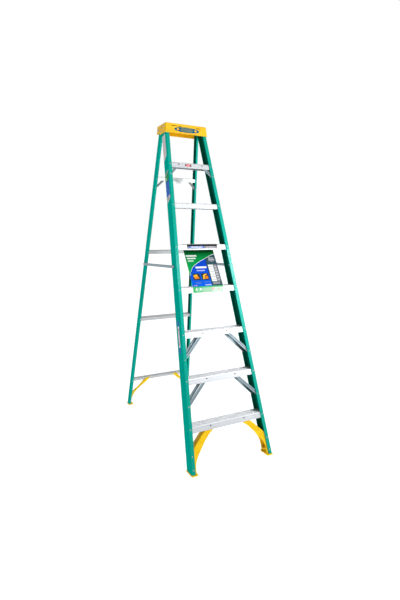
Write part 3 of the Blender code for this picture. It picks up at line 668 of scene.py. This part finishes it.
def box_points(a0, b0, a1, b1, radius=0.0):
    """A rectangle, with round corners where a radius is given."""
    if not radius:
        return [(a0, b0), (a1, b0), (a1, b1), (a0, b1)]
    points = []
    corners = ((a1 - radius, b1 - radius, 0), (a0 + radius, b1 - radius, 90))
    corners += ((a0 + radius, b0 + radius, 180), (a1 - radius, b0 + radius, 270))
    for a, b, start in corners:
        for i in range(5):
            angle = math.radians(start + 22.5 * i)
            points.append((a + radius * math.cos(angle), b + radius * math.sin(angle)))
    return points


def oval_points(a, b, half_a, half_b, count=32):
    turns = [2 * math.pi * i / count for i in range(count)]
    return [(a + half_a * math.cos(t), b + half_b * math.sin(t)) for t in turns]


INKS = {
    "ink_black": (0.006, 0.007, 0.008),
    "ink_silver": (0.27, 0.27, 0.30),
    "ink_silver_light": (0.66, 0.66, 0.70),
    "ink_pale_blue": (0.40, 0.48, 0.80),
    "ink_sky": (0.06, 0.16, 0.62),
    "ink_white": (0.86, 0.88, 0.88),
    "ink_slate": (0.035, 0.085, 0.110),
    "ink_slate_dark": (0.008, 0.025, 0.045),
    "ink_grey": (0.27, 0.29, 0.33),
    "ink_orange": (0.85, 0.22, 0.01),
    "ink_amber": (0.90, 0.50, 0.03),
    "ink_dark": (0.02, 0.045, 0.06),
    "ink_mint": (0.36, 0.62, 0.42),
    "ink_leaf": (0.05, 0.48, 0.14),
    "ink_pale_mint": (0.55, 0.80, 0.63),
    "ink_pink": (0.80, 0.42, 0.45),
    "ink_label_grey": (0.58, 0.55, 0.57),
    "ink_label_line": (0.42, 0.40, 0.43),
    "ink_label_blue": (0.020, 0.10, 0.50),
    "ink_label_green": (0.0, 0.26, 0.06),
    "ink_label_stone": (0.33, 0.31, 0.29),
    "ink_cream": (0.62, 0.62, 0.42),
    "ink_red": (0.60, 0.05, 0.05),
    "ink_brown": (0.18, 0.09, 0.01),
    "ink_yellow": (0.84, 0.50, 0.018),
    "ink_leaf_light": (0.16, 0.58, 0.28),
    "ink_peach": (0.72, 0.52, 0.42),
    "ink_label_pale": (0.08, 0.18, 0.58),
    "ink_label_line_dark": (0.10, 0.06, 0.06),
    "ink_pill_red": (0.70, 0.12, 0.10),
    "ink_cap_blue": (0.0, 0.080, 0.180),
    "ink_cap_stripe": (0.36, 0.36, 0.10),
}
for ink, colour in INKS.items():
    MAT[ink] = printed(ink, colour)


GREEN_STOPS = ((0.0, (0.0, 0.36, 0.085)), (0.55, (0.0, 0.26, 0.055)), (1.0, (0.0, 0.085, 0.012)))
BLUE_STOPS = ((0.0, (0.0, 0.115, 0.72)), (0.6, (0.0, 0.075, 0.66)), (1.0, (0.0, 0.06, 0.55)))
MAT["ink_field_green"] = graded("ink_field_green", 1.28, 1.40, *GREEN_STOPS)
MAT["ink_field_blue"] = graded("ink_field_blue", 1.16, 1.30, *BLUE_STOPS)


# Display card

CARD_FOLD_LOW = (0.0039, 1.2137)  # y and z of the slanted panel's ends, in front axes
CARD_FOLD_HIGH = (0.0734, 1.4930)
rise = Vector((CARD_FOLD_HIGH[0] - CARD_FOLD_LOW[0], CARD_FOLD_HIGH[1] - CARD_FOLD_LOW[1]))
CARD_LENGTH = rise.length
rise.normalize()
CARD_WIDTH = 2 * CARD_HALF_WIDTH
CARD_FRONT_Y = 0.0031
# Shares of the panel's width and of its height, from its top left corner.
ARC = ((0, 0.70), (0.03, 0.68), (0.056, 0.61), (0.149, 0.485), (0.283, 0.40), (0.443, 0.32), (0.642, 0.245))
ARC += ((0.829, 0.168), (0.98, 0.12), (1, 0.115))


def front_direction(y, z):
    return TO_FRONT.to_3x3() @ Vector((0, y, z))


def panel_points(points):
    """From shares of the panel, down from its top fold, to metres up from its bottom fold."""
    return [(t * CARD_WIDTH, (1 - s) * CARD_LENGTH) for t, s in points]


def print_panel():
    """Two fields parted by a white arc, two plain pictures, and blocks and bars in place of the text."""
    skin = 0.0008
    low = front_point(-CARD_HALF_WIDTH, CARD_FOLD_LOW[0] - skin * rise.y, CARD_FOLD_LOW[1] + skin * rise.x)
    sheet = Sheet("card_panel_print", low, (1, 0, 0), front_direction(*rise), "front_section")
    sheet.add(panel_points([(0, 0.0), (1, 0.0), (1, 1), (0, 1)]), "ink_field_green", 0)
    left = [point for point in ARC if point[0] < 0.65]
    sheet.add(panel_points([*left, (0.647, 0.243), (0.647, 1), (0, 1)]), "ink_field_blue", 1)
    right = [point for point in ARC if point[0] > 0.65]
    sheet.add(panel_points([(0.647, 0.243), *right, (1, 1), (0.647, 1)]), "ink_slate", 1)
    sheet.add(panel_points([(0.640, 0.25), (0.655, 0.245), (0.655, 1), (0.640, 1)]), "ink_slate_dark", 2)
    for (t0, s0), (t1, s1) in zip(ARC, ARC[1:]):
        piece = [(t0, s0 - 0.007), (t1, s1 - 0.007), (t1, s1 + 0.005), (t0, s0 + 0.005)]
        sheet.add(panel_points(piece), "ink_white", 3)
    blocks = (
        (0.68, 0.42, 0.845, 0.88, "ink_white"),
        (0.855, 0.42, 0.97, 0.88, "ink_silver"),
        (0.69, 0.895, 0.93, 0.96, "ink_silver"),
        (0.25, 0.462, 0.61, 0.512, "ink_white"),
        (0.26, 0.556, 0.53, 0.588, "ink_pale_blue"),
        (0.09, 0.65, 0.32, 0.83, "ink_dark"),
        (0.365, 0.65, 0.61, 0.83, "ink_dark"),
        (0.12, 0.875, 0.32, 0.90, "ink_sky"),
        (0.12, 0.915, 0.29, 0.94, "ink_sky"),
        (0.40, 0.875, 0.63, 0.90, "ink_sky"),
        (0.42, 0.95, 0.62, 0.98, "ink_pale_blue"),
        (0.05, 0.962, 0.08, 0.978, "ink_pink"),
        (0.10, 0.962, 0.15, 0.978, "ink_pink"),
        (0.03, 0.14, 0.38, 0.185, "ink_white"),
        (0.05, 0.215, 0.33, 0.250, "ink_white"),
        (0.06, 0.285, 0.24, 0.320, "ink_pale_mint"),
        (0.75, 0.225, 0.93, 0.245, "ink_silver_light"),
        (0.75, 0.275, 0.95, 0.30, "ink_silver_light"),
        (0.77, 0.325, 0.90, 0.34, "ink_silver"),
    )
    for t0, s0, t1, s1, ink in blocks:
        sheet.add(panel_points([(t0, s0), (t1, s0), (t1, s1), (t0, s1)]), ink, 3)
    for row in range(6):
        s = 0.47 + 0.07 * row
        line = [(0.70, s), (0.83, s), (0.83, s + 0.012), (0.70, s + 0.012)]
        sheet.add(panel_points(line), "ink_grey", 4)
        line = [(0.875, s), (0.95, s), (0.95, s + 0.02), (0.875, s + 0.02)]
        sheet.add(panel_points(line), "ink_silver_light", 4)
    pictures = (
        ([(0.14, 0.80), (0.11, 0.70), (0.22, 0.675), (0.29, 0.78)], "ink_amber", 4),
        ([(0.14, 0.80), (0.13, 0.745), (0.25, 0.72), (0.29, 0.78)], "ink_orange", 5),
        (
            [(0.40, 0.81), (0.43, 0.70), (0.50, 0.665), (0.57, 0.68), (0.48, 0.72), (0.46, 0.80)],
            "ink_amber",
            4,
        ),
        ([(0.47, 0.81), (0.49, 0.74), (0.57, 0.72), (0.585, 0.79)], "ink_orange", 5),
    )
    for points, ink, lift in pictures:
        sheet.add(panel_points(points), ink, lift)
    sheet.done()


def print_header():
    """The front of the card's upper flap: a dark band, a pill and plain bars."""
    corner = front_point(-CARD_HALF_WIDTH, CARD_FRONT_Y, 1.4851)
    sheet = Sheet("card_header_print", corner, (1, 0, 0), front_direction(0, 1), "front_section")
    height = 0.0310
    sheet.add(box_points(0, 0, CARD_WIDTH, height), "ink_silver", 0)
    sheet.add(box_points(0, height * 0.52, CARD_WIDTH, height), "ink_black", 1)
    sheet.add(box_points(0.06 * CARD_WIDTH, 0.003, 0.55 * CARD_WIDTH, 0.0175, 0.007), "ink_sky", 1)
    sheet.add(box_points(0.10 * CARD_WIDTH, 0.0045, 0.51 * CARD_WIDTH, 0.0160, 0.005), "ink_pale_blue", 2)
    sheet.add(box_points(0.14 * CARD_WIDTH, 0.0085, 0.46 * CARD_WIDTH, 0.0125), "ink_white", 3)
    sheet.add(box_points(0.62 * CARD_WIDTH, 0.0060, 0.93 * CARD_WIDTH, 0.0085), "ink_silver_light", 1)
    sheet.add(box_points(0.62 * CARD_WIDTH, 0.0120, 0.86 * CARD_WIDTH, 0.0145), "ink_silver_light", 1)
    sheet.done()


def print_flap():
    """The front of the card's lower flap: pale bands, two arrows and four patches."""
    corner = front_point(-CARD_HALF_WIDTH, CARD_FRONT_Y, 1.1717)
    sheet = Sheet("card_flap_print", corner, (1, 0, 0), front_direction(0, 1), "front_section")
    height = 0.0420
    sheet.add(box_points(0, 0, CARD_WIDTH, height), "ink_mint", 0)
    bands = ((0, 0.10, "ink_leaf"), (0.10, 0.30, "ink_leaf_light"))
    bands += ((0.62, 0.82, "ink_pale_mint"), (0.82, 1, "ink_pale_mint"))
    for start, end, ink in bands:
        sheet.add(box_points(start * CARD_WIDTH, 0, end * CARD_WIDTH, height), ink, 1)
    sheet.add(box_points(0, height * 0.80, CARD_WIDTH, height), "ink_leaf", 2)
    for t in (0.07, 0.20):
        shape = ((t, 0.28), (t + 0.035, 0.45), (t + 0.08, 0.28), (t + 0.06, 0.75), (t + 0.02, 0.70))
        sheet.add([(a * CARD_WIDTH, b * height) for a, b in shape], "ink_white", 3)
    patches = ((0.62, 0.70, 0.35, 0.75, "ink_pink"), (0.72, 0.79, 0.50, 0.80, "ink_silver_light"))
    patches += ((0.81, 0.88, 0.28, 0.62, "ink_peach"), (0.90, 0.97, 0.45, 0.78, "ink_silver_light"))
    for start, end, foot, head, ink in patches:
        patch = box_points(start * CARD_WIDTH, foot * height, end * CARD_WIDTH, head * height, 0.003)
        sheet.add(patch, ink, 3)
    sheet.done()


print_panel()
print_header()
print_flap()


# Labels on the left rail, on the cap and on the top step


def rail_labels():
    """Points are (distance from the rail's front face, distance up the rail from the floor)."""
    up = TO_FRONT.to_3x3() @ Vector((math.sin(lean), 0, math.cos(lean)))
    corner = front_point(-FRONT_TOE_X, FRONT_WEB, 0)
    sheet = Sheet("rail_labels", corner, front_direction(-1, 0), up, "front_section")

    def patch(points, ink, level):
        sheet.add([(FRONT_WEB - d, s) for d, s in points], ink, level)

    patch([(0.020, 2.185), (0.075, 2.150), (0.075, 2.348), (0.020, 2.348)], "ink_label_grey", 1)
    for i in range(7):
        s = 2.325 - 0.019 * i
        patch([(0.026, s), (0.070, s), (0.070, s + 0.004), (0.026, s + 0.004)], "ink_label_line", 2)
    patch([(0.012, 2.060), (0.068, 2.035), (0.068, 2.048), (0.012, 2.073)], "ink_label_stone", 1)
    patch([(0.012, 2.004), (0.068, 1.990), (0.068, 2.030), (0.012, 2.055)], "ink_label_green", 1)
    patch([(0.044, 2.010), (0.066, 2.004), (0.066, 2.016), (0.044, 2.021)], "ink_cream", 2)
    patch([(0.012, 1.888), (0.068, 1.880), (0.068, 1.990), (0.012, 2.004)], "ink_label_blue", 1)
    for i in range(5):
        s = 1.965 - 0.017 * i
        patch([(0.020, s), (0.058, s), (0.058, s + 0.003), (0.020, s + 0.003)], "ink_label_pale", 2)
    patch([(0.012, 1.860), (0.068, 1.835), (0.068, 1.880), (0.012, 1.888)], "ink_label_grey", 1)
    patch([(0.024, 1.862), (0.058, 1.856), (0.058, 1.872), (0.024, 1.876)], "ink_label_stone", 2)
    patch(box_points(0.028, 0.775, 0.052, 1.000, 0.012), "ink_label_blue", 1)
    patch(box_points(0.0310, 0.815, 0.0490, 0.960, 0.0090), "ink_white", 2)
    patch(box_points(0.0345, 0.830, 0.0455, 0.945, 0.0050), "ink_red", 3)
    patch(box_points(0.0370, 0.845, 0.0430, 0.930, 0.0030), "ink_white", 4)
    sheet.done()


def cap_mark():
    """A plain oval with two dots and a band of stripes on the front of the cap, and dashes above it."""
    along = Vector((0, 0.0085, 0.070)).normalized()
    sheet = Sheet("cap_mark", (0, 0.0215, 2.237), (1, 0, 0), along, "front_section")
    middle = 0.0290
    sheet.add(oval_points(0.002, middle, 0.101, 0.0190, 44), "ink_cap_blue", 0)
    sheet.add(oval_points(-0.069, middle, 0.010, 0.0070), "ink_yellow", 1)
    sheet.add(oval_points(0.073, middle, 0.010, 0.0070), "ink_yellow", 1)
    for b in (0.0155, 0.0225, 0.0290, 0.0355, 0.0425):
        half = 0.052 * math.sqrt(1 - ((b - middle) / 0.0215) ** 2)
        sheet.add(box_points(0.002 - half, b - 0.0011, 0.002 + half, b + 0.0011), "ink_cap_stripe", 1)
    sheet.add(box_points(-0.120, 0.0485, -0.072, 0.0535), "ink_brown", 0)
    sheet.add(box_points(-0.066, 0.0480, -0.040, 0.0530), "ink_brown", 0)
    sheet.add(box_points(0.076, 0.0470, 0.114, 0.0525), "ink_brown", 0)
    sheet.done()


def step_mark():
    """A dark tag with a red middle on the top step's apron, and a short bar beside it."""
    corner = front_point(0, FRONT_WALL + GAP, 2.0955)
    sheet = Sheet("step_mark", corner, (1, 0, 0), front_direction(0, 1), "front_section")
    sheet.add(box_points(-0.046, 0.0015, 0.005, 0.0185, 0.006), "ink_label_line_dark", 0)
    sheet.add(box_points(-0.036, 0.0015, -0.005, 0.0185), "ink_pill_red", 1)
    sheet.add(box_points(-0.031, 0.0065, -0.010, 0.0120), "ink_pink", 2)
    sheet.add(box_points(0.012, 0.0070, 0.050, 0.0100), "ink_silver_light", 0)
    sheet.done()


def brace_grooves():
    """A flat strip of painted shade along the face of each front knee brace, where the metal is pressed in.
    """
    near = FRONT_WALL + STEP_WALL + 2 * GAP
    for side in (-1, 1):
        for number, (half, drop) in BRACED_STEPS.items():
            high = STEP_RIVET_Z + (number - 1) * STEP_PITCH
            low = high - drop
            start = Vector((side * half, high))
            end = Vector((side * (front_outer(low) - RIVET_INSET), low))
            run = (end - start).normalized()
            cross = Vector((run.y, -run.x)) if run.y > 0 else Vector((-run.y, run.x))
            corner = front_point(start.x, near, start.y)
            across = TO_FRONT.to_3x3() @ Vector((cross.x, 0, cross.y))
            along = TO_FRONT.to_3x3() @ Vector((run.x, 0, run.y))
            if across.cross(along).dot(FORWARD) < 0:
                across.negate()
            sheet = Sheet(f"brace_shade_{number}_{side}", corner, across, along, "front_section")
            length = (end - start).length
            sheet.add(box_points(-0.0035, 0.006, 0.0035, length - 0.004), "brace_shade", 0)
            sheet.done()


rail_labels()
cap_mark()
step_mark()
brace_grooves()


# Camera, light and floor


CAMERA_PLACE = (-1.408, -2.8885, 1.494)
CAMERA_DOWN = 8.44
CAMERA_RIGHT = 27.52
SOFTBOXES = (  # name, place, target, width, height, watts
    ("front_box", (1.91, -2.54, 2.24), (0.1, -0.35, 1.2), 0.15, 1.20, 56),
    ("edge_box", (0.94, -2.54, 2.60), (-0.2, -0.35, 1.2), 0.20, 0.46, 7),
    ("left_box", (-3.0, -0.8, 1.9), (-0.2, 0, 1.2), 1.4, 1.8, 5),
    ("top_box", (0.2, -1.8, 3.3), (0, 0, 1.9), 1.0, 0.7, 5),
)


def add_camera():
    data = bpy.data.cameras.new("camera")
    data.lens = 25.38
    data.sensor_width = 36
    camera = bpy.data.objects.new("camera", data)
    camera.location = CAMERA_PLACE
    camera.rotation_euler = (math.radians(90 - CAMERA_DOWN), 0, -math.radians(CAMERA_RIGHT))
    bpy.context.scene.collection.objects.link(camera)
    bpy.context.scene.camera = camera


def add_softbox(name, place, target, width, height, power):
    data = bpy.data.lights.new(name, "AREA")
    data.shape = "RECTANGLE"
    data.size = width
    data.size_y = height
    data.energy = power
    light = bpy.data.objects.new(name, data)
    light.location = place
    light.rotation_euler = (Vector(target) - Vector(place)).to_track_quat("-Z", "Y").to_euler()
    bpy.context.scene.collection.objects.link(light)


def add_floor():
    """A pale floor that glows, as if lit from all sides."""
    mesh = bpy.data.meshes.new("floor")
    size = 60
    corners = [(-size, -size, 0), (size, -size, 0), (size, size, 0), (-size, size, 0)]
    mesh.from_pydata(corners, [], [(0, 1, 2, 3)])
    floor = bpy.data.objects.new("floor", mesh)
    floor.location.z = -0.0004
    glow = {"Emission_Color": (1, 1, 1, 1), "Emission_Strength": 0.80}
    finish = Finish("floor_paint", (0.45, 0.45, 0.45), 0.7, **glow)
    grain = finish.noise(finish.place(), 300.0, 2.0)
    finish.rough(finish.span(grain, 0.3, 0.7, 0.65, 0.80))
    mesh.materials.append(finish.material)
    bpy.context.scene.collection.objects.link(floor)
    floor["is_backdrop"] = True


def add_world():
    """A white studio: bright behind the ladder and to its right, dimmer at the front left."""
    world = bpy.data.worlds.new("studio")
    world.use_nodes = True
    nodes, links = world.node_tree.nodes, world.node_tree.links
    background = nodes["Background"]
    background.inputs["Color"].default_value = (1, 1, 1, 1)
    split = nodes.new("ShaderNodeSeparateXYZ")
    links.new(nodes.new("ShaderNodeTexCoord").outputs["Generated"], split.inputs["Vector"])

    def graded_wall(source, low, high, dim, bright):
        wall = nodes.new("ShaderNodeMapRange")
        for socket, number in (("From Min", low), ("From Max", high), ("To Min", dim), ("To Max", bright)):
            wall.inputs[socket].default_value = number
        links.new(split.outputs[source], wall.inputs["Value"])
        return wall.outputs["Result"]

    def largest(first, second):
        node = nodes.new("ShaderNodeMath")
        node.operation = "MAXIMUM"
        links.new(first, node.inputs[0])
        links.new(second, node.inputs[1])
        return node.outputs["Value"]

    walls = largest(graded_wall("Y", -0.1, 0.5, 0.0, 0.85), graded_wall("X", 0.15, 0.65, 0.30, 0.95))
    seen = nodes.new("ShaderNodeLightPath").outputs["Is Camera Ray"]
    links.new(largest(walls, seen), background.inputs["Strength"])
    bpy.context.scene.world = world


add_camera()
add_world()
add_floor()
for softbox in SOFTBOXES:
    add_softbox(*softbox)
bpy.context.scene.view_settings.view_transform = "Standard"

low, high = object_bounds()
